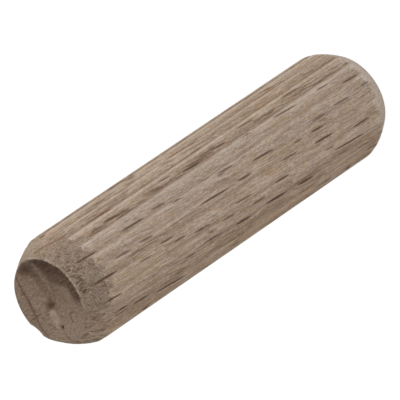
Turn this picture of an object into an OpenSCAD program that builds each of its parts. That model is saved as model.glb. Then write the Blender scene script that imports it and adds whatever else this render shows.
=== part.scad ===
// Multi-groove beech dowel pin, standing on its foot with the cupped, torn end up.
// Millimetres, +Z along the pin. The origin is the centre of the foot.

/* [Pin] */
// Diameter over the crests of the flutes
pin_d = 10; // [6:0.5:16]
// Length from the foot to the highest point of the rim
pin_l = 40; // [24:1:80]

/* [Flutes] */
// Number of flutes around the pin
flute_count = 24; // [16:2:32]
// Depth of the valleys, as a share of the pin's diameter
valley_share = 0.018; // [0.008:0.002:0.026]
// Share of each flute's pitch that is crest, on the full diameter
crest_share = 0.4; // [0.2:0.05:0.6]

/* [Foot] */
// Diameter of the flat foot, as a share of the pin's diameter
foot_share = 0.8; // [0.7:0.02:0.9]
// Height of the foot's chamfer, as a share of the pin's diameter
foot_chamfer_share = 0.2; // [0.1:0.01:0.3]
// How far the foot's chamfer swells out halfway up, as a share of the pin's diameter
foot_swell_share = 0.008; // [0:0.001:0.015]

/* [Head] */
// Diameter of the rim, as a share of the pin's diameter
rim_share = 0.756; // [0.7:0.002:0.9]
// Height of the head's chamfer, as a share of the pin's diameter
rim_chamfer_share = 0.25; // [0.1:0.01:0.3]
// How far the head's chamfer swells out halfway up, as a share of the pin's diameter
rim_swell_share = 0.011; // [0:0.001:0.015]
// Lean of the sawn face away from square, in degrees
saw_lean = 1.9; // [0:0.1:4]
// Bearing of the highest point of the rim, in degrees from +X
saw_bearing = -128; // [-180:1:180]

/* [Hollow] */
// Depth of the shallow dish over the whole face, as a share of the rim's diameter
dish_share = 0.05; // [0.03:0.005:0.06]
// Diameter of the deeper bowl's mouth, as a share of the rim's diameter
bowl_share = 0.77; // [0.6:0.01:0.8]
// Depth of the bowl, as a share of its mouth's diameter
bowl_depth_share = 0.15; // [0.08:0.01:0.16]
// Bearing of the side where the bowl comes up to the rim, in degrees from +X
bowl_bearing = -25; // [-180:1:180]

/* [Growth rings] */
// Bearing of the rings' centre, the heart of the tree, in degrees from +X
heart_bearing = -97; // [-120:1:-60]
// Distance of the heart from the pin's axis, as a share of the pin's diameter
heart_share = 0.78; // [0.6:0.01:1.5]
// Radius of the inner ring line past that distance, as a share of the pin's diameter
inner_ring_share = 0.08; // [0.02:0.005:0.1]
// Width of a growth ring, as a share of the pin's diameter
ring_share = 0.2; // [0.15:0.005:0.22]
// Step up to the next growth ring where the wood has torn inside the hollow
ring_drop = 0.08; // [0.04:0.01:0.12]

/* [Chip] */
// Depth of the chip out of the rim
chip_depth = 0.26; // [0.1:0.02:0.4]
// Bearing of the chip, in degrees from +X
chip_bearing = 113; // [100:1:140]

/* [Hidden] */

// Room that a cutter runs past what it cuts
past = 1;

crest_r = pin_d / 2;
foot_r = crest_r * foot_share;
foot_chamfer_h = pin_d * foot_chamfer_share;
foot_swell = pin_d * foot_swell_share;
rim_r = crest_r * rim_share;
rim_chamfer_h = pin_d * rim_chamfer_share;
rim_swell = pin_d * rim_swell_share;

// Each chamfer is a stack of four cones, and the last one at the rim loses this radius per mm
cone_steps = 4;
rim_slope = (crest_r - rim_r + 4 * rim_swell * (1 - 1 / cone_steps)) / rim_chamfer_h;

// The sawn face leans, so that its highest point on the cone of the chamfer is at pin_l
saw_z = pin_l - rim_r * tan(saw_lean) / (1 + rim_slope * tan(saw_lean));

// Each flute is an arc through the two ends of its crest and the two valleys beside it
flute_pitch = 360 / flute_count;
crest_half = flute_pitch * crest_share / 2;
valley_half = flute_pitch / 2;
valley_r = crest_r - pin_d * valley_share;
flute_offset = (crest_r * crest_r - valley_r * valley_r)
    / (2 * (crest_r * cos(crest_half) - valley_r * cos(valley_half)));
flute_r = norm([crest_r * cos(crest_half) - flute_offset, crest_r * sin(crest_half)]);
core_r = valley_r - pin_d * valley_share / 2;

// Both parts of the hollow are caps of a ball, cut down from the sawn face
dish_mouth_r = 0.97 * rim_r;
dish_depth = 2 * rim_r * dish_share;
bowl_mouth_r = rim_r * bowl_share;
bowl_depth = 2 * bowl_mouth_r * bowl_depth_share;
bowl_shift = 0.985 * rim_r - bowl_mouth_r;

// The inner ring line splits the hollow near the axis, and the outer one, a ring away, ends it
heart_distance = pin_d * heart_share;
inner_ring_r = heart_distance + pin_d * inner_ring_share;
outer_ring_r = inner_ring_r + pin_d * ring_share;

// Radius of the ball that bites the chip out, and its height over the sawn face
chip_r = 2.4;
chip_rise = 0.6;

module fluted_section() {
    intersection() {
        circle(r = crest_r, $fn = 192);
        union() {
            circle(r = core_r, $fn = 96);
            for (i = [0 : flute_count - 1])
                rotate((i + 0.5) * flute_pitch)
                    translate([flute_offset, 0])
                        circle(r = flute_r, $fn = 48);
        }
    }
}

// Radius of a chamfer from its small end, where t is 0, to the crests, where t is 1
function swollen_r(end_r, swell, t) = end_r + (crest_r - end_r) * t + 4 * swell * t * (1 - t);

// Both chamfers, and room for the pin between them
module chamfer_envelope() {
    wide_r = crest_r + past;
    steps = [for (k = [0 : cone_steps]) k / cone_steps];
    head_base = saw_z - rim_chamfer_h;
    head_top = saw_z + past;
    rotate_extrude($fn = 192)
        polygon(concat(
            [[0, 0]],
            [for (t = steps) [swollen_r(foot_r, foot_swell, t), foot_chamfer_h * t]],
            [[wide_r, foot_chamfer_h + past], [wide_r, head_base - past]],
            [for (t = steps) [swollen_r(rim_r, rim_swell, 1 - t), head_base + rim_chamfer_h * t]],
            [[rim_r - past * rim_slope, head_top], [0, head_top]]
        ));
}

// Moves what is drawn on level ground onto the leaning sawn face
module on_sawn_face() {
    translate([0, 0, saw_z])
        rotate([0, 0, saw_bearing])
            rotate([0, -saw_lean, 0])
                rotate([0, 0, -saw_bearing])
                    children();
}

// Ball that cuts a cap of the given mouth and depth below z = 0
module cap_cutter(mouth_r, depth) {
    ball_r = (mouth_r * mouth_r + depth * depth) / (2 * depth);
    translate([0, 0, ball_r - depth])
        sphere(r = ball_r, $fn = 128);
}

module hollow() {
    cap_cutter(dish_mouth_r, dish_depth);
    rotate([0, 0, bowl_bearing])
        translate([bowl_shift, 0, 0])
            cap_cutter(bowl_mouth_r, bowl_depth);
}

// The hollow out to a growth ring's line, raised by the step of the torn wood
module hollow_within(ring_r, raised) {
    intersection() {
        translate([0, 0, raised])
            hollow();
        rotate([0, 0, heart_bearing])
            translate([heart_distance, 0, -pin_d / 2])
                cylinder(h = pin_d, r = ring_r, $fn = 192);
    }
}

// Waste above the sawn face, and the hollow, which steps up at the inner ring line and ends in
// one more step at the outer line
module torn_head() {
    translate([-pin_d, -pin_d, 0])
        cube([2 * pin_d, 2 * pin_d, pin_d]);
    hollow_within(inner_ring_r, 0);
    hollow_within(outer_ring_r, ring_drop);
}

// Small round bite out of the rim
module rim_chip() {
    rotate([0, 0, chip_bearing])
        translate([rim_r + chip_r - chip_depth, 0, saw_z + chip_rise])
            sphere(r = chip_r, $fn = 64);
}

module dowel_pin() {
    color("tan")
        difference() {
            intersection() {
                linear_extrude(pin_l + past)
                    fluted_section();
                chamfer_envelope();
            }
            on_sawn_face()
                torn_head();
            rim_chip();
        }
}

dowel_pin();
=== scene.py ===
"""Looks of a fluted beech dowel pin that stands on its foot, its torn and cupped head up.

The pin is one piece of wood, so one dense mesh stands for the one CAD node. It keeps the
node's section, chamfers, hollow and ring steps, and adds what the saw, the fluting rollers
and the wood itself leave on a raw pin: crushed fibres, ray flecks, tear-out and small pits.
Its colour also carries painted shade in the hollow, in the flute valleys and on their flanks,
and painted highlights along the rim's lip and beside the valleys.
"""

import logging
from dataclasses import dataclass, field
from enum import Enum
from math import cos, hypot, pi, radians, sin, tan

import bmesh
import bpy
import numpy as np
from bpy.types import Material, Mesh, Node, NodeOutputs, NodeTree, Object
from bpy.types import NodeSocket as Socket
from mathutils import Matrix, Vector, noise


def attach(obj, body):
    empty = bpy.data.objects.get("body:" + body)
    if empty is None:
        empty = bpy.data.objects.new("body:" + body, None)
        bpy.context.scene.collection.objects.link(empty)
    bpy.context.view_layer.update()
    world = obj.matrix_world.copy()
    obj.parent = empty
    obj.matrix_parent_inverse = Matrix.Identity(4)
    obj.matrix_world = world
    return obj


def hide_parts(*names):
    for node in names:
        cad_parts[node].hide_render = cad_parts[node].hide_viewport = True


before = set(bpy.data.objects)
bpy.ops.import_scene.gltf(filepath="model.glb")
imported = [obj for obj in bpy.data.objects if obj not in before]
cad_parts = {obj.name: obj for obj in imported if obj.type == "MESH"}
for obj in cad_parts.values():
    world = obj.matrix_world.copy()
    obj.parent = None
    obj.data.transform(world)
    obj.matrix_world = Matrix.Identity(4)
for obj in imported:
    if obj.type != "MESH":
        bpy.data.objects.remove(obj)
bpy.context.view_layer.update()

LOG = logging.getLogger("dowel_pin")
MM = 0.001
NODE = "dowel_pin"
ORIGIN = (0.0, 0.0, 0.0)

Array = np.ndarray
Pair = tuple[Array, Array]
Paint = tuple[int, int, int]
Tones = tuple[Paint, Paint, Paint]
Trio = tuple[float, float, float]

# A curve of a chamfer runs on past its wide end up to this share of its height
CHAMFER_REACH = 1.5
# Cuts in millimetres that stand for a place wholly cut, and for one not cut at all
CUT_AWAY, UNCUT = 2.0, -1.0
# A mark this many half sizes off is no mark at all
OFF_MARK = 2.0


# ---- sizes and sections


@dataclass(frozen=True)
class PinSizes:
    """Driving sizes of the pin in millimetres and degrees, as the CAD node has them."""

    length: float = 40.0
    crest_r: float = 5.0
    flutes: int = 24
    valley_depth: float = 0.18
    crest_share: float = 0.4
    foot_r: float = 4.0
    foot_chamfer: float = 2.0
    foot_swell: float = 0.08
    rim_r: float = 3.78
    rim_chamfer: float = 2.5
    rim_swell: float = 0.11
    saw_lean: float = 1.9
    saw_bearing: float = -128.0

    @property
    def rim_slope(self) -> float:
        """Radius lost for each millimetre up the head's chamfer, at the rim."""
        return (self.crest_r - self.rim_r + 3 * self.rim_swell) / self.rim_chamfer

    @property
    def lean(self) -> float:
        """Tangent of the sawn face's lean."""
        return tan(radians(self.saw_lean))

    @property
    def saw_z(self) -> float:
        """Height of the sawn face on the axis."""
        return self.length - self.rim_r * self.lean / (1 + self.rim_slope * self.lean)

    def swollen_r(self, end_r: float, swell: float, share: Array) -> Array:
        """Radius of a chamfer from its small end, where the share is 0, to the crests, at 1."""
        t = np.minimum(share, CHAMFER_REACH)
        return end_r + (self.crest_r - end_r) * t + 4 * swell * t * (1 - t)

    def head_cone(self, z: Array) -> Array:
        """Radius of the head's chamfer at each height."""
        return self.swollen_r(self.rim_r, self.rim_swell, (self.saw_z - z) / self.rim_chamfer)

    def foot_cone(self, z: Array) -> Array:
        """Radius of the foot's chamfer at each height."""
        return self.swollen_r(self.foot_r, self.foot_swell, z / self.foot_chamfer)


def ease(low: float, high: float, value: Array) -> Array:
    """Rises smoothly from 0 at low to 1 at high, which may be the lower number."""
    t = np.clip((value - low) / (high - low), 0.0, 1.0)
    return t * t * (3 - 2 * t)


def put(name: str, data: object) -> Object:
    """Adds an object to the scene.

    Args:
        name: Name of the object.
        data: Its mesh, lamp or camera.

    Returns:
        The object.
    """
    made = bpy.data.objects.new(name, data)
    bpy.context.scene.collection.objects.link(made)
    return made


def toward(bearing: float, distance: float = 1.0) -> tuple[float, float]:
    """X and Y of a place by its bearing from +X, in degrees, and its distance from the axis."""
    return distance * cos(radians(bearing)), distance * sin(radians(bearing))


def bell(value: Array, width: float) -> Array:
    """A smooth bump, 1 where the value is nought, that fades out past the width."""
    return np.exp(-((value / width) ** 2))


def polar(radius: Array, bearing: Array, height: Array) -> Array:
    """Places by their radius, bearing and height."""
    return np.stack([radius * np.cos(bearing), radius * np.sin(bearing), height], axis=1)


def turn_from(bearing: Array, centre: float) -> Array:
    """Angle in radians from a centre given in degrees, between minus and plus half a turn."""
    return (bearing - radians(centre) + pi) % (2 * pi) - pi


def around(bumps: tuple[Trio, ...], bearing: Array) -> Array:
    """Sum of smooth bumps round the pin.

    Args:
        bumps: Rows of (bearing and half width in degrees, height).
        bearing: Angles from +X in radians.

    Returns:
        The sum at each angle, in the unit of the heights.
    """
    total = np.zeros_like(bearing)
    for centre, span, height in bumps:
        total += height * bell(turn_from(bearing, centre), radians(span))
    return total


@dataclass(frozen=True)
class FluteSection:
    """Section of the fluted shank: arcs that meet in valleys, with crests on the full radius.

    The rollers pressed it unevenly: some valleys drift to the side and the flutes lean over like
    saw teeth on the +X side. The colour gets painted shade on the far flank of each flute on the
    +X side, and bands at given bearings, some darker and some paler.
    """

    sizes: PinSizes
    drift: tuple[Trio, ...] = (
        (-45.0, 9.0, 0.8),
        (-59.0, 9.0, 0.6),
        (-103.0, 8.0, 4.2),
        (-119.0, 8.0, 2.2),
    )
    tooth: float = 0.42
    # Painted shade on the far flank of each flute, on the +X side
    flank_shade: float = 0.35
    bands: tuple[Trio, ...] = (
        (-11.5, 3.0, 0.55),
        (-18.0, 2.2, -0.45),
        (-25.5, 2.2, 0.25),
        (-37.5, 3.0, 0.35),
        (-54.5, 4.0, 0.58),
        (-63.5, 2.2, -0.12),
        (-95.5, 2.2, 0.50),
        (-103.0, 2.2, 0.25),
        (-141.5, 4.5, 0.40),
    )

    @property
    def pitch(self) -> float:
        """Angle from one valley to the next, in radians."""
        return 2 * pi / self.sizes.flutes

    def share(self, bearing: Array) -> Array:
        """How far each bearing is from one valley, at 0, to the next one clockwise, at 1."""
        shifted = bearing - np.radians(around(self.drift, bearing))
        return (-shifted % self.pitch) / self.pitch

    def radius(self, bearing: Array) -> Array:
        """Radius of the section.

        Args:
            bearing: Angles from +X in radians.

        Returns:
            The radius at each angle, in millimetres.
        """
        s = self.sizes
        valley_half = self.pitch / 2
        crest_half = valley_half * s.crest_share
        valley_r = s.crest_r - s.valley_depth
        crest_x, crest_y = s.crest_r * cos(crest_half), s.crest_r * sin(crest_half)
        centre = (s.crest_r**2 - valley_r**2) / (2 * (crest_x - valley_r * cos(valley_half)))
        arc_r = hypot(crest_x - centre, crest_y)
        lean = self.tooth * ease(-0.2, 0.5, np.cos(bearing))
        turn = (self.share(bearing) ** (1 - lean) - 0.5) * self.pitch
        reach = np.sqrt(np.maximum(arc_r**2 - (centre * np.sin(turn)) ** 2, 0.0))
        half_width = s.crest_r * cos(valley_half - crest_half)
        widest = half_width / np.maximum(np.abs(np.cos(bearing)), np.abs(np.sin(bearing)))
        return np.minimum(centre * np.cos(turn) + reach, np.minimum(widest, s.crest_r))

    def past_valley(self, bearing: Array) -> Array:
        """Distance clockwise from the nearest valley, in millimetres, negative before it."""
        share = self.share(bearing)
        return np.where(share > 0.5, share - 1, share) * self.pitch * self.sizes.crest_r

    def flank_shade_and_bands(self, bearing: Array) -> Array:
        """Painted shade on each flute's far flank on the +X side, with the darker bands; below nought in
        the paler bands.
        """
        side = ease(-0.1, 0.6, np.cos(bearing)) * ease(0.5, 1.0, self.share(bearing))
        return self.flank_shade * side + around(self.bands, bearing)


def perlin(points: Array, scale: Trio, seed: int) -> Array:
    """Perlin noise at many points.

    Args:
        points: Places in millimetres.
        scale: Waves for each millimetre along X, Y and Z.
        seed: Number of the pattern.

    Returns:
        Values between about -1 and 1.
    """
    shift = Vector((17.3 * seed, 5.1 * seed, -9.7 * seed))
    scaled = points * np.array(scale)
    return np.array([noise.noise(Vector(p) + shift) for p in scaled])


# ---- the head


@dataclass(frozen=True)
class Spot:
    """A small pit, bump, stain or patch of painted shade on the head's face, sizes in millimetres."""

    x: float
    y: float
    wide: float
    tall: float
    rise: float
    dark: float


@dataclass(frozen=True)
class TornHead:
    """The sawn face of the head with its hollow, its torn growth rings and its chip.

    Stain and painted shade fill the hollow from -Y up to stain_and_shade_y, and climb by
    stain_and_shade_climb towards +X. The other stain and shade sizes say how dark they are, how
    dark the ring lines with the painted shadows of their steps are, and how bright the painted
    highlight on a step's edge is.
    The rim's place is found in a few settling rounds, since its height sets its radius.
    """

    sizes: PinSizes
    dish_mouth: float = 0.97 * PinSizes.rim_r
    dish_depth: float = 0.378
    bowl_mouth: float = 0.77 * PinSizes.rim_r
    bowl_depth: float = 0.873
    bowl_shift: float = (0.985 - 0.77) * PinSizes.rim_r
    bowl_bearing: float = -25.0
    heart_bearing: float = -97.0
    heart_distance: float = 7.8
    inner_ring: float = 8.6
    outer_ring: float = 10.6
    ring_drop: float = 0.08
    chip_r: float = 2.4
    chip_depth: float = 0.26
    chip_rise: float = 0.6
    chip_bearing: float = 113.0
    worn: tuple[Trio, ...] = ((148.0, 16.0, 0.08), (6.0, 14.0, -0.07))
    # Bearing and half span of the thin lip, which gets a painted highlight along its edge
    lit_lip_bearing: float = -38.0
    lit_lip_span: float = 90.0
    settling: int = 6
    grain_relief: float = 0.035
    # Darkness of the stain and painted shade in the hollow, and more of it near the rim
    stain_and_shade: float = 0.71
    rim_stain_and_shade: float = 0.10
    stain_and_shade_y: float = -2.2
    stain_and_shade_climb: float = 2.1
    # Ring lines: their own dark latewood line with painted shadow of their steps, and a painted highlight
    # on a step's lit edge
    outer_line_and_shadow: float = 0.65
    inner_line_and_shadow: float = 0.45
    line_width: float = 0.09
    step_highlight: float = 0.22
    side_pale: float = 0.16
    spots: tuple[Spot, ...] = (
        Spot(-2.35, 0.66, 0.13, 0.12, -0.14, 1.3),
        Spot(-0.35, 0.95, 0.34, 0.50, -0.16, 0.9),
        Spot(0.15, 0.75, 0.32, 0.26, -0.05, 0.5),
        Spot(-1.60, 0.97, 0.80, 0.36, 0.10, -1.0),
        # These two paint shade, with stain, in the hollow's deepest pocket under the rim at +X
        Spot(3.30, 0.60, 0.62, 1.05, -0.05, 0.85),
        Spot(2.55, 0.40, 0.60, 0.46, 0.0, 0.6),
        Spot(-0.50, 0.40, 0.95, 1.60, 0.0, 0.16),
        Spot(0.90, 0.10, 1.10, 1.00, 0.0, 0.26),
        Spot(-0.52, 2.95, 0.05, 0.95, -0.05, 0.5),
        Spot(-3.00, -0.50, 0.09, 0.12, -0.08, 0.6),
        Spot(-2.45, -0.85, 0.09, 0.16, -0.08, 0.6),
        Spot(-2.20, -1.60, 0.08, 0.12, -0.06, 0.5),
        Spot(-1.75, -1.25, 0.08, 0.12, -0.06, 0.5),
    )

    def plane(self, x: Array, y: Array) -> Array:
        """Height of the leaning sawn plane."""
        uphill_x, uphill_y = toward(self.sizes.saw_bearing)
        return self.sizes.saw_z + self.sizes.lean * (x * uphill_x + y * uphill_y)

    @staticmethod
    def cap(distance: Array, mouth: float, depth: float) -> Array:
        """Height of a ball's cap below its mouth, nought outside it.

        Args:
            distance: Distances from the cap's axis in millimetres.
            mouth: Radius of its mouth.
            depth: Its depth in the middle.

        Returns:
            The heights in millimetres.
        """
        ball = (mouth**2 + depth**2) / (2 * depth)
        inside = np.sqrt(np.maximum(ball**2 - distance**2, 0.0))
        return np.minimum(ball - depth - inside, 0.0)

    def ring_reach(self, x: Array, y: Array) -> Array:
        """Distance from the heart of the tree, where the growth rings have their centre.

        Args:
            x: Places in millimetres.
            y: Places in millimetres.

        Returns:
            The distances in millimetres, swayed a little as the ring lines are.
        """
        heart_x, heart_y = toward(self.heart_bearing, self.heart_distance)
        reach = np.hypot(x - heart_x, y - heart_y)
        jog = ease(-0.9, 0.0, x) - ease(0.8, 3.0, x)
        return reach + 0.2 * jog - 0.03 * np.sin(4.1 * x + 1.0)

    def hollow(self, x: Array, y: Array) -> Array:
        """Height of the hollow against the sawn plane, with its steps at the ring lines.

        Args:
            x: Places in millimetres.
            y: Places in millimetres.

        Returns:
            The heights in millimetres, none of them above nought.
        """
        bowl_x, bowl_y = toward(self.bowl_bearing, self.bowl_shift)
        dish = self.cap(np.hypot(x, y), self.dish_mouth, self.dish_depth)
        bowl = self.cap(np.hypot(x - bowl_x, y - bowl_y), self.bowl_mouth, self.bowl_depth)
        ring = self.ring_reach(x, y)
        pale_and_highlight = self.ring_drop * ease(-0.06, 0.06, ring - self.inner_ring)
        cut = np.minimum(np.minimum(dish, bowl) + pale_and_highlight, 0.0)
        return cut * ease(0.05, -0.05, ring - self.outer_ring)

    def lit_lip(self, bearing: Array) -> Array:
        """How much of the rim, from 0 to 1 by bearing, is the thin raised lip the saw left; it gets a
        painted highlight along its edge, and painted shade in the hollow below it.
        """
        turn = turn_from(bearing, self.lit_lip_bearing)
        return ease(radians(self.lit_lip_span), radians(self.lit_lip_span - 25), np.abs(turn))

    def tears(self, x: Array, y: Array) -> Pair:
        """Small torn places on the face, its ring lines, and the stain and painted shade in its hollow.

        Args:
            x: Places in millimetres.
            y: Places in millimetres.

        Returns:
            Their height against the face in millimetres, and how dark they are stained and painted with
            shade; below nought they are paler, as on a step's painted highlight.
        """
        flat = np.stack([x, y, np.zeros_like(x)], axis=1)
        relief = self.grain_relief * perlin(flat, (6.0, 2.2, 1.0), 5)
        darks, pales = [np.zeros_like(x)], [self.side_pale * ease(-1.9, -2.7, x)]
        for spot in self.spots:
            reach = ((x - spot.x) / spot.wide) ** 2 + ((y - spot.y) / spot.tall) ** 2
            mound = np.exp(-(reach**1.5))
            relief += spot.rise * mound
            darks.append(spot.dark * mound)
            edge = bell(np.sqrt(reach) - 0.85, 0.25) * ease(0.0, spot.wide, x - spot.x)
            pales.append(-spot.dark * np.maximum(0.75 * mound, edge))
        ring = self.ring_reach(x, y)
        outer, inner = ring - self.outer_ring, ring - self.inner_ring
        left, right = ease(-0.5, -1.1, x), ease(0.2, 0.8, x)
        # Ring lines darkened with painted shadow where the face steps, a broad painted shade beside the
        # inner step on the right, and a painted highlight on its lit edge
        darks.append(self.outer_line_and_shadow * bell(outer + 0.05, self.line_width))
        darks.append(self.inner_line_and_shadow * left * bell(inner, self.line_width))
        darks.append(self.inner_line_and_shadow * right * bell(inner - 0.22, 0.30))
        pales.append(self.step_highlight * right * bell(inner + 0.2, 0.13))
        # Stain and painted shade on the hollow's wall under the lit lip, darker near the rim
        streak = perlin(flat, (5.0, 0.7, 1.0), 6)
        edge = self.stain_and_shade_y + self.stain_and_shade_climb * ease(-0.3, 1.5, x + 0.3 * streak)
        stained_and_shaded = ease(edge + 0.45, edge - 0.7, y + 0.25 * streak)
        deep = self.stain_and_shade + self.rim_stain_and_shade * ease(2.0, 3.3, np.hypot(x, y)) + 0.3 * streak
        darks.append(deep * stained_and_shaded * self.lit_lip(np.arctan2(y, x)))
        return relief, np.maximum.reduce(darks) - np.maximum.reduce(pales)

    def chip_reach(self, bearing: Array, height: Array) -> Array:
        """Radius left by the ball that bites the chip out of the rim.

        Args:
            bearing: Angles from +X in radians.
            height: Heights in millimetres.

        Returns:
            The radius in millimetres, without end where the ball does not reach.
        """
        centre = self.sizes.rim_r + self.chip_r - self.chip_depth
        turn = bearing - radians(self.chip_bearing)
        rise = height - self.sizes.saw_z - self.chip_rise
        inside = self.chip_r**2 - rise**2 - (centre * np.sin(turn)) ** 2
        reach = centre * np.cos(turn) - np.sqrt(np.maximum(inside, 0.0))
        return np.where((inside > 0) & (np.cos(turn) > 0), reach, np.inf)

    def wear(self, bearing: Array) -> Array:
        """How far the rim's edge is worn back, and swells out where it is less than nought."""
        return around(self.worn, bearing)

    def rim(self, bearing: Array) -> Pair:
        """Radius and height of the rim, where the face meets the chamfer's cone.

        Args:
            bearing: Angles from +X in radians.

        Returns:
            The radius and the height at each angle, in millimetres.
        """
        s = self.sizes
        radius = np.full_like(bearing, s.rim_r)
        height = np.full_like(bearing, s.saw_z)
        for _ in range(self.settling):
            x, y = radius * np.cos(bearing), radius * np.sin(bearing)
            height = self.plane(x, y) + self.hollow(x, y)
            cone = s.head_cone(height) - self.wear(bearing)
            radius = np.minimum(cone, self.chip_reach(bearing, height))
        return radius, height


# ---- wood figure


@dataclass(frozen=True)
class RayFleck:
    """One medullary ray cut by the pin's skin: a thin dark spindle along the grain.

    Bearing is in degrees from +X, the sizes in millimetres, and dark from 0 to 1.
    """

    bearing: float
    height: float
    length: float
    dark: float = 0.8
    width: float = 0.20


# The larger flecks, and short dashes under the rim, as (bearing, height, length, dark, width)
FLECKS = (
    (-31, 20.8, 3.8, 0.9), (-26, 13.5, 1.4, 0.6), (-36.6, 39, 1.6, 0.6, 0.36),
    (-39, 37.8, 1.8, 0.7, 0.32), (-41, 5.1, 1.8, 0.6, 0.24), (-32, 29.2, 2.2, 0.6, 0.18),
    (-44, 33, 2.7, 0.9), (-50, 8.6, 2.9, 0.9), (-50.5, 14.9, 2.3),
    (-51.3, 25.7, 1.7), (-55, 18.8, 2.2), (-57.5, 22.7, 2.5, 0.9, 0.22),
    (-64, 11, 3.2), (-65, 5.9, 1.7, 0.7, 0.18), (-72, 28.5, 1.9, 0.7, 0.18),
    (-73, 31.9, 3.2, 0.9), (-74, 2.9, 2.2), (-74, 37.8, 2.4, 0.9),
    (-79, 20.4, 2.2), (-86, 1.9, 1.5, 0.8, 0.18), (-87.5, 5.3, 2.4, 0.7, 0.18),
    (-88, 16, 3, 0.9), (-88, 8.4, 2, 0.7, 0.18), (-91, 34.8, 2.3, 0.8, 0.18),
    (-91.5, 31.8, 1.7, 0.8, 0.18), (-94.7, 23.1, 4, 0.9), (-95.6, 19.2, 2, 0.9),
    (-95.5, 11.9, 1.3, 0.7, 0.18), (-96.5, 9.4, 2, 0.9), (-100.3, 37.6, 3.2, 1, 0.22),
    (-103.5, 29.9, 1.8), (-103.5, 13.6, 2.4), (-107, 32.9, 1.8, 0.7, 0.18),
    (-108, 9.2, 2.8, 1, 0.22), (-110, 28.6, 1.6, 0.8, 0.18), (-113, 20.3, 2.4, 0.8, 0.18),
    (-114, 25.8, 2.3), (-116.5, 4.2, 2.5), (-118.5, 15.1, 2.2, 0.9, 0.22),
    (-120.5, 22.4, 1.8), (-122, 37.5, 2.1, 0.9), (-124, 18.6, 2),
    (-127.5, 6.3, 4.4, 0.9, 0.22), (-130, 24.7, 2.8, 0.9), (-132, 27.8, 1.6, 0.7, 0.22),
    (-133.5, 20.6, 2.2, 1, 0.24), (-133.5, 16.2, 3.2, 1, 0.26), (-137, 12.3, 2.4, 1, 0.26),
    (-139, 36.6, 1.1, 0.9, 0.24), (-144, 34.2, 2.2, 0.9, 0.26), (-152, 30, 4.6, 1, 0.3),
    (-155, 2.6, 1.8, 0.7, 0.3), (-160, 9.2, 2.8, 0.6, 0.3), (-161, 21.2, 2, 0.7, 0.28),
    (-71.6, 39.44, 0.5, 0.6, 0.13), (-75.2, 39.6, 0.5, 0.8, 0.14), (-78.8, 39.42, 0.6, 0.6, 0.13),
    (-82.4, 39.5, 0.5, 0.7, 0.13), (-85.8, 39.42, 0.6, 0.7, 0.14), (-89.4, 39.54, 0.6, 0.9, 0.15),
    (-92.8, 39.44, 0.6, 0.7, 0.14), (-96.2, 39.54, 0.6, 0.8, 0.15), (-99.8, 39.52, 0.4, 1, 0.22),
)


@dataclass(frozen=True)
class Grain:
    """The wood's own axes: fibres lean a little from the pin's axis, rings run along X."""

    lean: float = 3.0
    skin_r: float = 4.95
    margin: float = 0.08
    same_side: float = 2.0
    other_side: float = 9.0
    least_facing: float = 0.3
    end_weight: float = 0.3
    flecks: tuple[RayFleck, ...] = tuple(RayFleck(*row) for row in FLECKS)

    def marks(self, points: Array) -> Array:
        """Finds the fleck near each point of the skin.

        Args:
            points: Places on the skin in millimetres.

        Returns:
            Rows of (across, along, darkness): distances from the fleck's middle as shares of
            its half width and half length, and a darkness of 0 off any fleck.
        """
        tilt = tan(radians(self.lean))
        found = np.zeros_like(points)
        found[:, :2] = OFF_MARK
        best = np.full(len(points), np.inf)
        for fleck in self.flecks:
            x, y = toward(fleck.bearing, self.skin_r)
            facing = max(abs(y) / self.skin_r, self.least_facing)
            rise = points[:, 2] - fleck.height
            across = (points[:, 0] - x - tilt * rise) / facing
            beyond = np.maximum(np.abs(rise) - fleck.length / 2, 0.0)
            reach = np.abs(across) + self.end_weight * beyond
            reach[np.abs(points[:, 1] - y) > self.same_side] += self.other_side
            near = reach < best
            best[near] = reach[near]
            found[near, 0] = across[near] / (fleck.width / 2)
            found[near, 1] = rise[near] / (fleck.length / 2)
            inside = (np.abs(across) < fleck.width / 2 + self.margin) & (beyond < 3 * self.margin)
            found[near, 2] = fleck.dark * (inside & (reach < 1.0))[near]
        return found


# ---- the mesh


class Region(Enum):
    """Parts of the pin's skin, as the mesh's region layer numbers them."""

    HEAD = 0
    WALL = 1
    FOOT = 2


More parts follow.
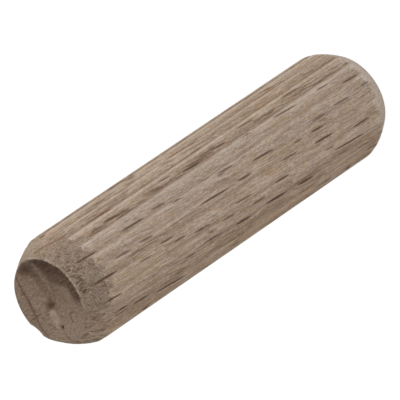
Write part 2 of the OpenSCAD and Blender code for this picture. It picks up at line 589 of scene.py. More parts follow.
@dataclass
class DowelPin:
    """The whole pin: one skin of a head sheet, a wall extruded from its edge, and a foot.

    The chamfers' rows of vertices run on past the chamfers by a margin.
    """

    sizes: PinSizes = field(default_factory=PinSizes)
    grain: Grain = field(default_factory=Grain)
    columns: int = 384
    head_rows: int = 26
    shank_rows: int = 158
    foot_rows: int = 12
    head_margin: float = 0.3
    foot_margin: float = 0.45
    foot_softness: float = 0.035
    wear_reach: float = 0.7
    lip_highlight_reach: float = 0.10
    fibre_depth: float = 0.018
    torn_depth: float = 0.07
    fleck_depth: float = 0.03

    def __post_init__(self) -> None:
        """Makes the section and the head that the skin follows."""
        self.section = FluteSection(self.sizes)
        self.head = TornHead(self.sizes)

    def levels(self) -> Array:
        """Rows of the wall from the rim, at 0, to the foot: (share of the rim's height, height).

        Returns:
            The rows, with heights in millimetres.
        """
        s = self.sizes
        head_end = s.saw_z - s.rim_chamfer - self.head_margin
        foot_end = s.foot_chamfer + self.foot_margin
        down = np.linspace(0.0, 1.0, self.head_rows + 1)
        head = np.stack([1 - down, down * head_end], axis=1)
        shank = np.linspace(head_end, foot_end, self.shank_rows + 1)[1:]
        foot = np.linspace(foot_end, 0.0, self.foot_rows + 1)[1:]
        heights = np.concatenate([shank, foot])
        return np.concatenate([head, np.stack([np.zeros_like(heights), heights], axis=1)])

    def skin(self) -> tuple[Mesh, Array, Array]:
        """Builds the closed skin in a plain unit shape.

        Returns:
            The mesh, each vertex's region and each vertex's row.
        """
        bm = bmesh.new()
        region = bm.verts.layers.int.new("region")
        row = bm.verts.layers.int.new("row")
        side = self.columns // 4
        bmesh.ops.create_grid(bm, x_segments=side, y_segments=side, size=1.0)
        for v in bm.verts:
            v[region] = Region.HEAD.value
        edge = [e for e in bm.edges if e.is_boundary]
        for e in edge:
            e.smooth = False
        count = len(self.levels()) - 1
        for k in range(1, count + 1):
            out = bmesh.ops.extrude_edge_only(bm, edges=edge)["geom"]
            edge = [g for g in out if isinstance(g, bmesh.types.BMEdge) and g.is_boundary]
            for v in {v for e in edge for v in e.verts}:
                v.co.z = -k
                v[region] = Region.WALL.value
                v[row] = k
        for e in bm.edges:
            if all(v[row] > 0 for v in e.verts):
                e.smooth = True
        for e in edge:
            e.smooth = False
        before = set(bm.verts)
        bottom = Matrix.Translation((0, 0, -count))
        bmesh.ops.create_grid(bm, x_segments=side, y_segments=side, size=1.0, matrix=bottom)
        for v in bm.verts:
            if v not in before:
                v[region] = Region.FOOT.value
                v[row] = count
        bmesh.ops.remove_doubles(bm, verts=bm.verts, dist=1e-4)
        bmesh.ops.recalc_face_normals(bm, faces=bm.faces)
        mesh = bpy.data.meshes.new(NODE)
        bm.to_mesh(mesh)
        bm.free()
        return mesh, self.read_layer(mesh, "region"), self.read_layer(mesh, "row")

    @staticmethod
    def read_layer(mesh: Mesh, name: str) -> Array:
        """Reads a whole-number layer of the vertices and takes it off the mesh.

        Args:
            mesh: The mesh that has the layer.
            name: Name of the layer.

        Returns:
            One number for each vertex.
        """
        values = np.zeros(len(mesh.vertices), dtype=np.int32)
        mesh.attributes[name].data.foreach_get("value", values)
        mesh.attributes.remove(mesh.attributes[name])
        return values

    @staticmethod
    def square_to_disc(u: Array, v: Array) -> Pair:
        """Turns places on a square into the radius and bearing of places on a unit disc.

        Args:
            u: Places from -1 to 1.
            v: Places from -1 to 1.

        Returns:
            The radius from 0 to 1, and the bearing in radians.
        """
        wide = np.abs(u) >= np.abs(v)
        big = np.where(wide, u, v)
        small = np.where(wide, v, u)
        turn = (pi / 4) * np.divide(small, big, out=np.zeros_like(u), where=big != 0)
        bearing = np.where(wide, turn, pi / 2 - turn)
        bearing = np.where(big < 0, bearing + pi, bearing)
        return np.abs(big), bearing

    def place_head(self, reach: Array, bearing: Array, rim_r: Array, rim_z: Array) -> Pair:
        """Places the head's sheet.

        Args:
            reach: Share of the way from the axis to the rim.
            bearing: Angles from +X in radians.
            rim_r: Radius of the rim at each bearing.
            rim_z: Height of the rim at each bearing.

        Returns:
            The places in millimetres, and how dark each one is stained and painted with shade.
        """
        x, y = reach * rim_r * np.cos(bearing), reach * rim_r * np.sin(bearing)
        relief, stain_and_shade = self.head.tears(x, y)
        z = self.head.plane(x, y) + self.head.hollow(x, y) + relief * ease(1.0, 0.9, reach)
        return np.stack([x, y, np.where(reach > 0.9999, rim_z, z)], axis=1), stain_and_shade

    def place_wall(self, bearing: Array, row: Array, rim_z: Array) -> Pair:
        """Places the wall.

        Args:
            bearing: Angle of each vertex from +X in radians.
            row: Row of each vertex, 0 at the rim.
            rim_z: Height of the rim at each bearing.

        Returns:
            The places, and rows of (head cone's cut, foot cone's cut, painted highlight near the rim's lit
            lip).
        """
        s = self.sizes
        share, height = self.levels()[row].T
        z = share * rim_z + height
        shank = self.section.radius(bearing)
        cone = s.head_cone(z) - self.head.wear(bearing) * bell(rim_z - z, self.wear_reach)
        foot_cone = s.foot_cone(z)
        k = self.foot_softness
        rounded = -k * np.logaddexp(-shank / k, -foot_cone / k)
        radius = np.minimum.reduce([rounded, cone, self.head.chip_reach(bearing, z)])
        # Painted highlight along the rim's edge on the lit lip
        lit_lip = bell(rim_z - z, self.lip_highlight_reach) * self.head.lit_lip(bearing)
        return polar(radius, bearing, z), np.stack([shank - cone, shank - foot_cone, lit_lip], axis=1)

    def wall_relief(self, places: Array, cut: Array, marks: Array) -> Array:
        """Depth that fibres, flecks and torn end grain sink the wall by.

        Args:
            places: Places on the wall in millimetres.
            cut: Rows of (head cone's cut, foot cone's cut, painted highlight near the rim's lit lip).
            marks: Rows of (across, along, darkness) for the flecks.

        Returns:
            The depths in millimetres.
        """
        fibre = 0.5 + 0.5 * perlin(places, (4.5, 4.5, 0.35), 1)
        torn = 0.5 + 0.3 * perlin(places, (4.0, 4.0, 2.0), 2) + 0.4 * perlin(places, (9.0, 9.0, 4.5), 4)
        spindle = np.maximum(1 - marks[:, 1] ** 2 - np.abs(marks[:, 0]), 0) * marks[:, 2]
        on_cone = ease(0.0, 0.05, cut[:, 0])
        wood = self.fibre_depth * fibre * (1 - on_cone) + self.torn_depth * torn * on_cone
        return wood + self.fleck_depth * spindle

    def shape(self, mesh: Mesh, region: Array, row: Array) -> None:
        """Moves the skin's vertices from the unit shape to the pin's true form.

        Args:
            mesh: The skin in its unit shape.
            region: Region of each vertex.
            row: Row of each vertex.
        """
        s = self.sizes
        flat = np.zeros(len(mesh.vertices) * 3)
        mesh.vertices.foreach_get("co", flat)
        co = flat.reshape(-1, 3)
        reach, bearing = self.square_to_disc(co[:, 0], co[:, 1])
        rim_r, rim_z = self.head.rim(bearing)
        face, wall, foot = (region == part.value for part in Region)
        head, stain_and_shade = self.place_head(reach, bearing, rim_r, rim_z)
        out, cut = self.place_wall(bearing, row, rim_z)
        out[face] = head[face]
        out[foot] = polar(s.foot_r * reach, bearing, np.zeros_like(reach))[foot]
        stain_and_shade[~face] = 0.0
        cut[face, 0], cut[face, 1] = CUT_AWAY, UNCUT
        # The face's edge shares the lip's painted highlight
        cut[face, 2] = (ease(0.97, 1.0, reach) * self.head.lit_lip(bearing))[face]
        cut[foot] = (UNCUT, CUT_AWAY, 0.0)

        marks = self.grain.marks(out)
        marks[~wall] = (OFF_MARK, OFF_MARK, 0.0)
        sink = self.wall_relief(out, cut, marks) * wall
        sink *= ease(0.0, 0.3, out[:, 2]) * ease(0.0, 2.0, row.astype(float))
        distance = np.maximum(np.hypot(out[:, 0], out[:, 1]), 1e-6)
        out[:, :2] *= (1 - sink / distance)[:, None]
        mesh.vertices.foreach_set("co", (out * MM).ravel())
        front = ease(0.15, 0.5, -np.sin(bearing))
        valley = self.section.past_valley(bearing)
        self.paint(mesh, "cut", *cut.T)
        self.paint(mesh, "fleck", *marks.T)
        self.paint(mesh, "tone", stain_and_shade, front, np.zeros_like(stain_and_shade))
        self.paint(mesh, "flute", np.abs(valley), np.maximum(valley, 0.0), self.section.flank_shade_and_bands(bearing))
        mesh.update()

    @staticmethod
    def paint(mesh: Mesh, name: str, *values: Array) -> None:
        """Stores three numbers a vertex, for the material to read."""
        layer = mesh.attributes.new(name, "FLOAT_VECTOR", "POINT")
        layer.data.foreach_set("vector", np.stack(values, axis=1).astype(np.float32).ravel())

    def build(self) -> Object:
        """Makes the pin as an object that rides and replaces its CAD node.

        Returns:
            The finished object.
        """
        mesh, region, row = self.skin()
        self.shape(mesh, region, row)
        mesh.polygons.foreach_set("use_smooth", np.ones(len(mesh.polygons), dtype=bool))
        mesh.materials.append(RawBeech().material())
        piece = put("beech_dowel", mesh)
        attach(piece, "root")
        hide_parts(NODE)
        return piece


# ---- node trees


def linear(red: int, green: int, blue: int) -> tuple[float, float, float, float]:
    """Turns a paint-chart colour, each part 0 to 255, into a linear one.

    Args:
        red: Amount of red.
        green: Amount of green.
        blue: Amount of blue.

    Returns:
        The linear colour, wholly opaque.
    """
    parts = []
    for part in (red, green, blue):
        c = part / 255
        parts.append(c / 12.92 if c <= 0.04045 else ((c + 0.055) / 1.055) ** 2.4)
    return (*parts, 1.0)


class Graph:
    """Short calls that add and join the nodes of one tree.

    A value typed as object is a socket of another node or a plain value.
    """

    # Sockets of a Mix node that blends colours; those between are for numbers and vectors
    SHARE, FIRST, SECOND, BLENDED = 0, 6, 7, 2

    def __init__(self, tree: NodeTree) -> None:
        """Keeps the tree."""
        self.tree = tree

    def node(self, kind: str, given: dict[str, object] | None = None, **options: object) -> Node:
        """Adds a node, sets its options and feeds its named inputs.

        Args:
            kind: Type of the node.
            given: Sockets or values for its named inputs.
            **options: Its options by name.

        Returns:
            The node.
        """
        made = self.tree.nodes.new(kind)
        for name, value in options.items():
            setattr(made, name, value)
        for name, value in (given or {}).items():
            self.feed(made.inputs[name], value)
        return made

    def feed(self, socket: Socket, value: object) -> None:
        """Joins another node's output to the socket, or sets its own value.

        Args:
            socket: The input to feed.
            value: Another node's output, or a plain value.
        """
        if isinstance(value, Socket):
            self.tree.links.new(value, socket)
        else:
            socket.default_value = value

    def feed_all(self, node: Node, values: tuple[object, ...]) -> Node:
        """Feeds a node's first inputs in their order.

        Args:
            node: The node to feed.
            values: Sockets or plain values, one for each input.

        Returns:
            The same node.
        """
        for socket, value in zip(node.inputs, values):
            self.feed(socket, value)
        return node

    def math(self, kind: str, *values: object) -> Socket:
        """Adds a Math node and returns its value."""
        return self.feed_all(self.node("ShaderNodeMath", operation=kind), values).outputs[0]

    def plus(self, first: object, second: object) -> Socket:
        """Adds two values."""
        return self.math("ADD", first, second)

    def times(self, first: object, *others: object) -> Socket:
        """Multiplies all the values.

        Args:
            first: The first value.
            *others: The values that multiply it.

        Returns:
            The product.
        """
        for other in others:
            first = self.math("MULTIPLY", first, other)
        return first

    def scaled(self, value: object, factor: object, added: object) -> Socket:
        """Multiplies a value by a factor and adds something to it."""
        return self.math("MULTIPLY_ADD", value, factor, added)

    def stirred(self, value: object, swing: object, amount: float) -> Socket:
        """Adds some of a noise's swing about its middle to a value."""
        return self.scaled(self.math("SUBTRACT", swing, 0.5), amount, value)

    def vector(self, kind: str, *values: object) -> Socket:
        """Adds a Vector Math node and returns its vector."""
        return self.feed_all(self.node("ShaderNodeVectorMath", operation=kind), values).outputs[0]

    def split(self, vector: object) -> NodeOutputs:
        """Parts a vector into X, Y and Z."""
        return self.node("ShaderNodeSeparateXYZ", {"Vector": vector}).outputs

    def join(self, *values: object) -> Socket:
        """Makes a vector of three values."""
        return self.feed_all(self.node("ShaderNodeCombineXYZ"), values).outputs[0]

    def fade(self, value: object, low: object, high: object, smooth: bool = True) -> Socket:
        """Rises from 0 at low to 1 at high, which may be the lower number.

        Args:
            value: What the fade follows.
            low: Where it is 0.
            high: Where it is 1.
            smooth: Whether its ends are rounded.

        Returns:
            The share from 0 to 1.
        """
        kind = "SMOOTHSTEP" if smooth else "LINEAR"
        ends = {"Value": value, "From Min": low, "From Max": high}
        return self.node("ShaderNodeMapRange", ends, interpolation_type=kind).outputs["Result"]

    def mix(self, share: object, first: object, second: object, blend: str = "MIX") -> Socket:
        """Blends two colours.

        Args:
            share: How much of the second colour shows.
            first: The colour below.
            second: The colour on top.
            blend: How the two are blended.

        Returns:
            The colour.
        """
        made = self.node("ShaderNodeMix", data_type="RGBA", blend_type=blend)
        for socket, value in ((self.SHARE, share), (self.FIRST, first), (self.SECOND, second)):
            self.feed(made.inputs[socket], value)
        return made.outputs[self.BLENDED]

    def coat(self, colour: object, paint: Paint, share: object, strength: float = 1.0) -> Socket:
        """Lays a paint over a colour by its share, times a strength."""
        cover = share if strength == 1.0 else self.times(share, strength)
        return self.mix(cover, colour, linear(*paint))

    def wash(self, colour: object, paint: Paint, share: object) -> Socket:
        """Darkens a colour by a thin paint, where white leaves it as it is."""
        return self.mix(share, colour, linear(*paint), "MULTIPLY")

    def use(self, group: NodeTree, **values: object) -> Socket:
        """Places a group with its own values and returns what it makes."""
        return self.node("ShaderNodeGroup", values, node_tree=group).outputs[0]


class GroupGraph(Graph):
    """A node group with named inputs and one named output."""

    def __init__(self, name: str, output: str, **inputs: object) -> None:
        """Makes the group and its sockets, where a tuple stands for a vector.

        Args:
            name: Name of the group.
            output: Name of its output.
            **inputs: Default of each input by name.
        """
        super().__init__(bpy.data.node_groups.new(name, "ShaderNodeTree"))
        for title, default in inputs.items():
            kind = "NodeSocketVector" if isinstance(default, tuple) else "NodeSocketFloat"
            made = self.tree.interface.new_socket(title, in_out="INPUT", socket_type=kind)
            made.default_value = default
        self.tree.interface.new_socket(output, in_out="OUTPUT", socket_type="NodeSocketFloat")
        self.given = self.node("NodeGroupInput").outputs
        self.result = self.node("NodeGroupOutput").inputs[output]


# ---- the finish


def streak_group() -> NodeTree:
    """Noise drawn out along the grain, for fibres, blotches and colour bands.

    Returns:
        The node group.
    """
    g = GroupGraph("grain streaks", "Value", Place=ORIGIN, Across=5.0, Along=0.5, Detail=2.0, Seed=0.0)
    given = g.given
    place = g.vector("MULTIPLY", given["Place"], g.join(given["Across"], given["Across"], given["Along"]))
    waves = {"Vector": place, "W": given["Seed"], "Detail": given["Detail"], "Scale": 1.0, "Roughness": 0.6}
    g.feed(g.result, g.node("ShaderNodeTexNoise", waves, noise_dimensions="4D").outputs["Fac"])
    return g.tree


def ray_group() -> NodeTree:
    """Ray sheets that stand along Y: spindles on the front, broad patches at the sides.

    Returns:
        The node group.
    """
    g = GroupGraph(
        "ray sheets", "Mask", Place=ORIGIN, Width=0.5, Height=4.0, Share=0.5, Size=0.3, Seed=0.0
    )
    place = g.split(g.given["Place"])
    x = g.plus(g.math("DIVIDE", place["X"], g.given["Width"]), g.given["Seed"])
    z = g.math("DIVIDE", place["Z"], g.given["Height"])
    waves = {"Vector": g.join(x, z, 0.0), "Scale": 1.0, "Exponent": 1.2}
    cells = g.node("ShaderNodeTexVoronoi", waves, voronoi_dimensions="2D", distance="MINKOWSKI")
    tint = g.split(cells.outputs["Color"])
    kept = g.math("LESS_THAN", tint["X"], g.given["Share"])
    size = g.times(g.given["Size"], g.scaled(tint["Y"], 0.6, 0.5))
    spot = g.fade(cells.outputs["Distance"], size, g.times(size, 0.45))
    g.feed(g.result, g.times(spot, kept, g.scaled(tint["Z"], 0.6, 0.4)))
    return g.tree


@dataclass(frozen=True)
class Streak:
    """One noise of the wood's figure, in waves for each millimetre across and along the grain."""

    across: float
    along: float
    detail: float
    seed: float


class WoodGraph(Graph):
    """A material's tree, with the mesh's layers and the places and noises that the wood shares.

    The layers are cut (by the head's cone, by the foot's cone, painted highlight near the rim's
    lit lip), tone (stain and painted shade, front) and flute (distance from a valley, distance
    past one, painted flank shade and bands).
    """

    def __init__(self, tree: NodeTree, finish: "RawBeech") -> None:
        """Reads the layers and the places, and draws the noises that the finish names.

        Args:
            tree: The material's nodes.
            finish: The finish that names the noises.
        """
        super().__init__(tree)
        local = self.node("ShaderNodeTexCoord").outputs["Object"]
        where = self.split(local)
        self.side, self.height = self.times(where["X"], 1 / MM), self.times(where["Z"], 1 / MM)
        self.cut, self.tone, self.flute = (self.split(self.layer(n)) for n in ("cut", "tone", "flute"))
        self.place = self.wood_place(local, finish.grain_lean)
        self.streaks = streak_group()
        self.fine = self.streak(finish.fibres)
        self.ragged = self.streak(finish.frays)
        self.uneven = self.streak(finish.swells)
        self.ends = self.fibre_ends((8.5, 8.5, 2.8))

    def layer(self, name: str) -> Socket:
        """Reads three numbers that the mesh carries."""
        return self.node("ShaderNodeAttribute", attribute_name=name).outputs["Vector"]

    def wood_place(self, local: Socket, lean: float) -> Socket:
        """Places in millimetres, turned so that Z runs along the fibres, and swayed a little.

        Args:
            local: Places in the pin's own frame.
            lean: Lean of the fibres in degrees.

        Returns:
            The places in millimetres.
        """
        turn = self.node("ShaderNodeMapping", {"Vector": local}, vector_type="POINT")
        turn.inputs["Rotation"].default_value = (0.0, -radians(lean), 0.0)
        turn.inputs["Scale"].default_value = (1 / MM, 1 / MM, 1 / MM)
        place = turn.outputs["Vector"]
        slow = self.vector("MULTIPLY", place, (0.45, 0.45, 0.30))
        bend = self.node("ShaderNodeTexNoise", {"Vector": slow, "Scale": 1.0, "Detail": 1.5})
        sway = self.vector("SUBTRACT", bend.outputs["Color"], (0.5, 0.5, 0.5))
        return self.vector("ADD", place, self.vector("MULTIPLY", sway, (0.55, 0.55, 0.0)))

    def fibre_ends(self, waves: Trio) -> Socket:
        """Torn ends of fibre bundles: cells along the grain, each with a tone of its own."""
        cells = {"Vector": self.vector("MULTIPLY", self.place, waves), "Scale": 1.0}
        return self.split(self.node("ShaderNodeTexVoronoi", cells).outputs["Color"])["X"]

    def spindles(self, loose: Socket) -> Socket:
        """How dark the placed flecks are, each with pointed ends and a ragged edge.

        Args:
            loose: How much the edges are frayed.

        Returns:
            The darkness from 0 to 1.
        """
        mark = self.split(self.layer("fleck"))
        along = self.math("POWER", self.math("ABSOLUTE", mark["Y"]), 2.6)
        inside = self.math("SUBTRACT", self.math("SUBTRACT", 1.0, along), self.math("ABSOLUTE", mark["X"]))
        return self.times(self.fade(self.plus(inside, loose), -0.10, 0.30), mark["Z"])

    def streak(self, s: Streak) -> Socket:
        """Draws one noise along the grain."""
        sizes = {"Across": s.across, "Along": s.along, "Detail": s.detail, "Seed": s.seed}
        return self.use(self.streaks, Place=self.place, **sizes)


@dataclass(frozen=True)
class RawBeech:
    """Steamed beech, sawn and pressed, with no finish on it: its paints, noises and relief."""

    pale: Paint = (205, 187, 170)
    middle: Paint = (178, 157, 137)
    deep: Paint = (147, 123, 102)
    warm: Paint = (186, 154, 116)
    cool: Paint = (178, 162, 152)
    # Pale for the paler bands, and for the painted highlight just past each valley
    pale_and_highlight: Paint = (219, 203, 187)
    # Painted shade with crushed brown wood in the +X valleys
    valley_brown_and_shade: Paint = (132, 104, 79)
    # Wash for the painted flank shade and the darker bands
    shade_and_band_brown: Paint = (172, 156, 139)
    side_fleck: Paint = (128, 86, 56)
    fleck: Paint = (91, 68, 53)
    end_tones: Tones = ((108, 88, 73), (144, 123, 105), (174, 154, 134))
    cone_tones: Tones = ((110, 91, 76), (148, 129, 112), (180, 162, 143))
    # Stain and painted shade on the face, in the hollow and at the ring steps; also the pits under the rim
    stain_and_shade: Paint = (74, 52, 39)
    warm_stain_and_shade: Paint = (112, 78, 52)
    # Painted highlight along the rim's lit lip
    lip_highlight: Paint = (196, 182, 166)
    foot_pale: Paint = (220, 207, 194)
    head_wash: Paint = (208, 202, 198)
    turned_wash: Paint = (192, 180, 168)
    shade_wash: Paint = (250, 245, 238)
    # Painted light: a grey wash on the band that faces the light
    lit_grey_wash: Paint = (250, 252, 255)
    cone_wash: Paint = (246, 246, 246)
    fibres: Streak = Streak(10.5, 0.26, 3.5, 1.0)
    bands: Streak = Streak(1.3, 0.05, 2.0, 2.0)
    warmth: Streak = Streak(0.6, 0.1, 1.0, 3.0)
    frays: Streak = Streak(8.0, 2.5, 3.0, 4.0)
    swells: Streak = Streak(1.4, 0.9, 2.0, 5.0)
    fuzz: Streak = Streak(8.0, 3.2, 2.0, 6.0)
    grit: Streak = Streak(9.0, 6.5, 2.0, 8.0)
    crumbs: Streak = Streak(2.4, 1.2, 2.0, 9.0)
    hue: Streak = Streak(7.0, 2.6, 3.0, 10.0)
    blotches: Streak = Streak(1.1, 0.25, 3.0, 11.0)
    coarse: Streak = Streak(4.2, 0.12, 3.0, 12.0)
    strokes: Streak = Streak(6.0, 0.3, 1.0, 13.0)
    roughness: float = 0.82
    shine: float = 0.25
    grain_lean: float = Grain.lean
    fibre_rise: float = 0.035
    fleck_sink: float = 0.02
    torn_rise: float = 0.035
    end_sink: float = 0.004

    def material(self) -> Material:
        """Builds the node material.

        Returns:
            The material.
        """
        made = bpy.data.materials.new("raw_beech")
        made.use_nodes = True
        shader = made.node_tree.nodes["Principled BSDF"]
        shader.inputs["Roughness"].default_value = self.roughness
        shader.inputs["Specular IOR Level"].default_value = self.shine

        g = WoodGraph(made.node_tree, self)
        frayed = g.scaled(g.ragged, 0.5, g.plus(g.uneven, -0.73))
        on_cone = g.fade(g.plus(g.cut["X"], frayed), -0.02, 0.10)
        lengthwise = g.fade(g.side, -2.2, -4.2)
        across = g.times(on_cone, g.scaled(lengthwise, -0.8, 1.0))
        on_face = g.fade(g.cut["X"], 1.3, 1.9)

        wood = self.grooves(g, self.long_grain(g))
        dulled = g.times(g.fade(g.cut["X"], -0.1, 0.7), g.fade(g.side, -5.0, 0.0))
        wood = g.wash(wood, self.head_wash, dulled)
        colour = g.mix(across, wood, self.cone_grain(g))
        colour = self.turned_streaks(g, colour)
        colour = g.mix(on_face, colour, self.face_grain(g))
        colour = self.scuffed_foot(g, colour)
        dark = self.ray_marks(g, g.math("MAXIMUM", across, on_face))
        fleck = g.mix(g.fade(g.side, 2.4, 3.7), linear(*self.fleck), linear(*self.side_fleck))
        colour = g.mix(dark, colour, fleck)
        # Painted highlight along the rim's lit lip, frayed
        lit_lip = g.times(g.cut["Z"], g.fade(g.plus(g.ragged, g.uneven), 0.85, 1.15))
        g.feed(shader.inputs["Base Color"], g.coat(colour, self.lip_highlight, lit_lip, 0.85))
        g.feed(shader.inputs["Normal"], self.bump(g, dark, on_face))
        return made

    @staticmethod
    def three_tone(g: Graph, value: object, steps: Trio, tones: Tones) -> Socket:
        """Runs through a deep, a middle and a pale tone as a value rises.

        Args:
            g: The material's tree.
            value: What the colour follows.
            steps: Values of the deep, the middle and the pale tone.
            tones: The three tones.

        Returns:
            The colour.
        """
        low, middle, high = steps
        deep, between, pale = tones
        colour = g.coat(linear(*deep), between, g.fade(value, low, middle, smooth=False))
        return g.coat(colour, pale, g.fade(value, middle, high, smooth=False))

    def long_grain(self, g: WoodGraph) -> Socket:
        """Colour where the fibres lie along the skin.

        Args:
            g: The material's tree.

        Returns:
            The colour.
        """
        blend = g.stirred(g.fine, g.streak(self.bands), 0.4)
        blend = g.stirred(blend, g.streak(self.fuzz), 0.6)
        colour = self.three_tone(g, blend, (0.36, 0.5, 0.64), (self.deep, self.middle, self.pale))
        colour = g.coat(colour, self.warm, g.fade(g.streak(self.warmth), 0.5, 0.75), 0.25)
        hue = g.streak(self.hue)
        colour = g.coat(colour, self.warm, g.fade(hue, 0.50, 0.68, smooth=False), 0.7)
        return g.coat(colour, self.cool, g.fade(hue, 0.52, 0.32, smooth=False), 0.7)

    def grooves(self, g: WoodGraph, wood: Socket) -> Socket:
        """Darkens the flute bottoms with crushed wood and painted shade, browner on +X, and paints flank
        shade, highlights and bands.

        Args:
            g: The material's tree.
            wood: Colour of the wood before.

        Returns:
            The colour.
        """
        # Darker flute bottoms: crushed wood and painted shade
        crushed_and_shaded_groove = g.fade(g.plus(g.flute["X"], g.scaled(g.ragged, 0.3, -0.15)), 0.28, 0.0)
        # Painted highlight just past each valley on the +X side
        ridge_highlight = g.times(g.fade(g.flute["Y"], 0.16, 0.28), g.fade(g.flute["Y"], 0.50, 0.34))
        ridge_highlight = g.times(ridge_highlight, g.fade(g.ragged, 0.3, 0.6), g.fade(g.side, -0.5, 1.5))
        wood = g.coat(wood, self.deep, crushed_and_shaded_groove, 0.2)
        wood = g.coat(wood, self.pale_and_highlight, ridge_highlight, 0.45)
        # Painted shade, with crushed brown wood, in the valleys on the +X side
        wood = g.coat(wood, self.valley_brown_and_shade, g.times(crushed_and_shaded_groove, g.fade(g.side, 1.5, 4.0)), 0.35)
        # Painted shade on the flutes' far flanks and the darker bands, broken up and stronger towards the
        # head
        stroke = g.scaled(g.fade(g.streak(self.strokes), 0.60, 0.38), 1.1, 0.3)
        blotch = g.times(stroke, g.fade(g.streak(self.blotches), 0.20, 0.62))
        headward = g.scaled(g.fade(g.height, 24.0, 32.0), 0.5, 0.85)
        shade_and_bands = g.times(g.math("MAXIMUM", g.flute["Z"], 0.0), blotch, headward)
        wood = g.wash(wood, self.shade_and_band_brown, shade_and_bands)
        # The paler bands take the same pale paint as the highlights
        bare = g.math("MAXIMUM", g.times(g.flute["Z"], -1.0), 0.0)
        wood = g.coat(wood, self.pale_and_highlight, bare, 0.7)
        wood = g.wash(wood, self.shade_wash, g.fade(g.side, -2.6, -4.6))
        # Painted light: the band that faces the light is greyed a little
        centre = g.times(g.fade(g.side, 3.0, 2.2), g.fade(g.side, -0.6, 0.4))
        return g.wash(wood, self.lit_grey_wash, centre)

    def cone_grain(self, g: WoodGraph) -> Socket:
        """Colour of the head's chamfer: crushed fibre ends with pits in a band under the rim.

        Args:
            g: The material's tree.

        Returns:
            The colour.
        """
        blend = g.stirred(g.streak(self.grit), g.ends, 0.06)
        blend = g.stirred(blend, g.streak(self.crumbs), 0.5)
        blend = g.scaled(g.fade(g.side, 3.5, 4.6), 0.14, blend)
        colour = self.three_tone(g, blend, (0.3, 0.5, 0.74), self.cone_tones)
        colour = g.wash(colour, self.cone_wash, g.fade(g.side, 3.6, 2.0))
        colour = g.coat(colour, self.warm, g.fade(g.side, 2.2, 3.6), 0.12)
        band = g.times(g.fade(g.cut["X"], 0.50, 0.70), g.fade(g.cut["X"], 1.30, 1.10))
        band = g.times(band, g.fade(g.side, -1.9, -1.1), g.fade(g.side, 2.3, 1.7))
        colour = g.coat(colour, self.pale, g.times(g.fade(g.ends, 0.30, 0.20), band), 0.2)
        return g.coat(colour, self.stain_and_shade, g.times(g.fade(g.ends, 0.66, 0.76), band), 0.5)

    def turned_streaks(self, g: WoodGraph, colour: Socket) -> Socket:
        """Draws coarse dark and pale streaks down the -X side, strongest on the head's chamfer.

        Args:
            g: The material's tree.
            colour: Colour of the wood before.

        Returns:
            The colour.
        """
        coarse = g.streak(self.coarse)
        side = g.times(g.fade(g.side, -1.8, -3.8), g.scaled(g.fade(g.cut["X"], -0.2, 0.3), 0.5, 0.5))
        colour = g.wash(colour, self.turned_wash, g.times(g.fade(coarse, 0.50, 0.38), side))
        return g.coat(colour, self.pale, g.times(g.fade(coarse, 0.52, 0.64), side), 0.32)

    def face_grain(self, g: WoodGraph) -> Socket:
        """Colour of the sawn face: speckled fibre ends, stained where the wood tore, with painted shade and
        painted highlights from the tone layer.

        Args:
            g: The material's tree.

        Returns:
            The colour.
        """
        place = g.vector("MULTIPLY", g.place, (9.0, 3.0, 3.0))
        waves = {"Vector": place, "Scale": 1.0, "Detail": 4.0, "Roughness": 0.75}
        speckle = g.node("ShaderNodeTexNoise", waves).outputs["Fac"]
        colour = self.three_tone(g, speckle, (0.30, 0.5, 0.72), self.end_tones)
        dark = g.coat(linear(*self.stain_and_shade), self.warm_stain_and_shade, g.fade(speckle, 0.42, 0.62), 0.4)
        # Stain and painted shade darken the face; below nought the tone pales it, as on a step's painted
        # highlight
        colour = g.mix(g.tone["X"], colour, dark)
        return g.coat(colour, self.pale, g.tone["X"], -0.5)

    def scuffed_foot(self, g: WoodGraph, colour: Socket) -> Socket:
        """Pales the ragged edge where the foot's chamfer was scuffed.

        Args:
            g: The material's tree.
            colour: Colour of the wood before.

        Returns:
            The colour.
        """
        edge = g.plus(g.cut["Y"], g.scaled(g.ragged, 0.8, g.times(g.uneven, 1.1)))
        worn = g.scaled(g.ragged, 1.3, g.scaled(g.fine, 2.2, -1.15))
        worn = g.times(worn, g.scaled(g.fade(g.side, 2.6, 4.2), -0.5, 1.0))
        worn = g.scaled(g.fade(g.side, -3.2, -4.3), 0.35, worn)
        return g.coat(colour, self.foot_pale, g.times(g.fade(edge, 0.84, 1.22), worn))

    def ray_marks(self, g: WoodGraph, bare: Socket) -> Socket:
        """How dark the rays' cut edges are: those listed and small ones between them.

        Args:
            g: The material's tree.
            bare: Where the end grain is bare.

        Returns:
            The darkness from 0 to 1.
        """
        loose = g.times(g.math("SUBTRACT", g.ragged, 0.5), g.scaled(bare, 1.3, 0.6))
        rays = ray_group()
        kept = g.scaled(g.tone["Y"], -0.02, 0.10)
        large = g.use(rays, Place=g.place, Width=0.36, Height=3.4, Share=kept, Size=0.30, Seed=0.0)
        small = g.use(rays, Place=g.place, Width=0.26, Height=1.7, Share=0.30, Size=0.30, Seed=7.3)
        sheets = g.math("MAXIMUM", g.times(large, 0.8), g.times(small, 0.35))
        sheets = g.times(sheets, g.math("SUBTRACT", 1.0, bare))
        return g.math("MAXIMUM", g.times(g.spindles(loose), 0.9), sheets)

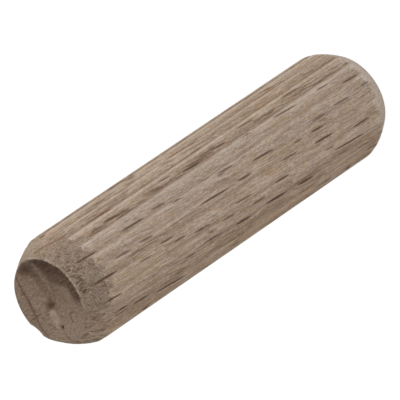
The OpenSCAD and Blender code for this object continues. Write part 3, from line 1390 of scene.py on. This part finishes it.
    def bump(self, g: WoodGraph, dark: Socket, on_face: Socket) -> Socket:
        """Fine relief in millimetres: fibres, sunk flecks, crushed end grain.

        Args:
            g: The material's tree.
            dark: How dark the flecks are.
            on_face: Where the sawn face is.

        Returns:
            The normal.
        """
        crushed = g.math("SUBTRACT", g.fade(g.cut["X"], 0.0, 0.2), g.times(on_face, 0.8))
        sunk = g.scaled(dark, -self.fleck_sink, g.times(g.fine, self.fibre_rise))
        torn = g.scaled(g.ragged, self.torn_rise, g.times(g.ends, -self.end_sink))
        relief = g.plus(sunk, g.times(torn, crushed))
        made = g.node("ShaderNodeBump", {"Strength": 1.0, "Distance": MM, "Height": relief})
        return made.outputs["Normal"]


# ---- the studio


def direction(bearing: float, height: float) -> Vector:
    """A direction by its bearing from +X and its height over level ground, both in degrees."""
    return Vector((*toward(bearing, cos(radians(height))), sin(radians(height))))


@dataclass(frozen=True)
class Camera:
    """A long lens that looks down on the pin, rolled so that the pin lies across the view.

    The pin rises across the view by pin_rise. Distance in metres, other lengths in millimetres.
    """

    distance: float = 0.610
    lens: float = 661.2
    sensor: float = 36.0
    elevation: float = 41.4
    bearing: float = -89.0
    pin_rise: float = 34.22
    aim_right: float = -0.165
    aim_up: float = -0.187

    def place(self, target: Vector) -> None:
        """Adds the camera, aimed just beside the target.

        Args:
            target: Middle of the pin in metres.
        """
        back = direction(self.bearing, self.elevation)
        level_right = Vector((0, 0, 1)).cross(back).normalized()
        level_up = back.cross(level_right)
        roll = radians(90 + self.pin_rise)
        right = level_right * cos(roll) - level_up * sin(roll)
        up = level_right * sin(roll) + level_up * cos(roll)
        aim = target + (right * self.aim_right + up * self.aim_up) * MM
        data = bpy.data.cameras.new("camera")
        data.lens = self.lens
        data.sensor_width = self.sensor
        camera = put("camera", data)
        turn = Matrix((right, up, back)).transposed()
        camera.matrix_world = Matrix.Translation(aim + back * self.distance) @ turn.to_4x4()
        bpy.context.scene.camera = camera


@dataclass(frozen=True)
class Lamp:
    """A round soft lamp: its bearing and height in degrees, distance and size in metres, watts."""

    name: str
    bearing: float
    height: float
    distance: float
    size: float
    power: float

    def place(self, target: Vector) -> None:
        """Adds the lamp so that it faces the target.

        Args:
            target: Middle of the pin in metres.
        """
        away = direction(self.bearing, self.height)
        data = bpy.data.lights.new(self.name, "AREA")
        data.shape = "DISK"
        data.size = self.size
        data.energy = self.power
        facing = away.to_track_quat("Z", "Y").to_matrix().to_4x4()
        put(self.name, data).matrix_world = Matrix.Translation(target + away * self.distance) @ facing


@dataclass(frozen=True)
class Studio:
    """A plain pale floor and plain soft light."""

    floor_size: float = 1.2
    floor_grey: float = 0.8
    floor_glow: float = 1.16
    glow_share: float = 0.8
    sky: float = 0.50
    lamps: tuple[Lamp, ...] = (
        Lamp("key", 10.0, 18.0, 0.5, 0.35, 0.74),
        Lamp("fill", -80.0, 25.0, 0.5, 0.6, 0.95),
    )

    def floor(self) -> None:
        """Adds the floor, white to the camera but with the pin's shadow left on it."""
        bm = bmesh.new()
        bmesh.ops.create_grid(bm, x_segments=1, y_segments=1, size=self.floor_size / 2)
        mesh = bpy.data.meshes.new("floor")
        bm.to_mesh(mesh)
        bm.free()
        mesh.materials.append(self.floor_material())
        floor = put("floor", mesh)

    def floor_material(self) -> Material:
        """A matt grey that glows a little, to the camera only.

        Returns:
            The material.
        """
        made = bpy.data.materials.new("white_floor")
        made.use_nodes = True
        nodes = made.node_tree.nodes
        nodes.remove(nodes["Principled BSDF"])
        g = Graph(made.node_tree)
        grey = self.floor_grey
        matt = g.node("ShaderNodeBsdfDiffuse", {"Color": (grey, grey, grey, 1.0)})
        glow = g.node("ShaderNodeEmission", {"Strength": self.floor_glow})
        seen = g.node("ShaderNodeLightPath").outputs["Is Camera Ray"]
        parts = (g.times(seen, self.glow_share), matt.outputs[0], glow.outputs[0])
        blend = g.feed_all(g.node("ShaderNodeMixShader"), parts)
        g.feed(nodes["Material Output"].inputs["Surface"], blend.outputs[0])
        return made

    def world(self) -> None:
        """Adds an even sky that the camera sees as white."""
        world = bpy.data.worlds.new("sky")
        bpy.context.scene.world = world
        world.use_nodes = True
        g = Graph(world.node_tree)
        back = world.node_tree.nodes["Background"]
        back.inputs["Color"].default_value = (1.0, 1.0, 1.0, 1.0)
        seen = g.node("ShaderNodeLightPath").outputs["Is Camera Ray"]
        g.feed(back.inputs["Strength"], g.scaled(seen, 1.0 - self.sky, self.sky))

    def build(self, target: Vector) -> None:
        """Adds the floor, the sky and the lamps.

        Args:
            target: Middle of the pin in metres.
        """
        self.floor()
        self.world()
        for lamp in self.lamps:
            lamp.place(target)


def main() -> None:
    """Builds the pin and the studio, and reports each piece."""
    logging.basicConfig(level=logging.INFO, format="%(message)s")
    pin = DowelPin()
    middle = Vector((0, 0, pin.sizes.saw_z / 2 * MM))
    Camera().place(middle)
    piece = pin.build()
    LOG.info("%s: %d vertices, %d faces", piece.name, len(piece.data.vertices), len(piece.data.polygons))
    studio = Studio()
    studio.build(middle)
    LOG.info("studio: floor, sky and %d lamps", len(studio.lamps))
    bpy.context.scene.view_settings.view_transform = "Standard"


if __name__ == "__main__":
    main()
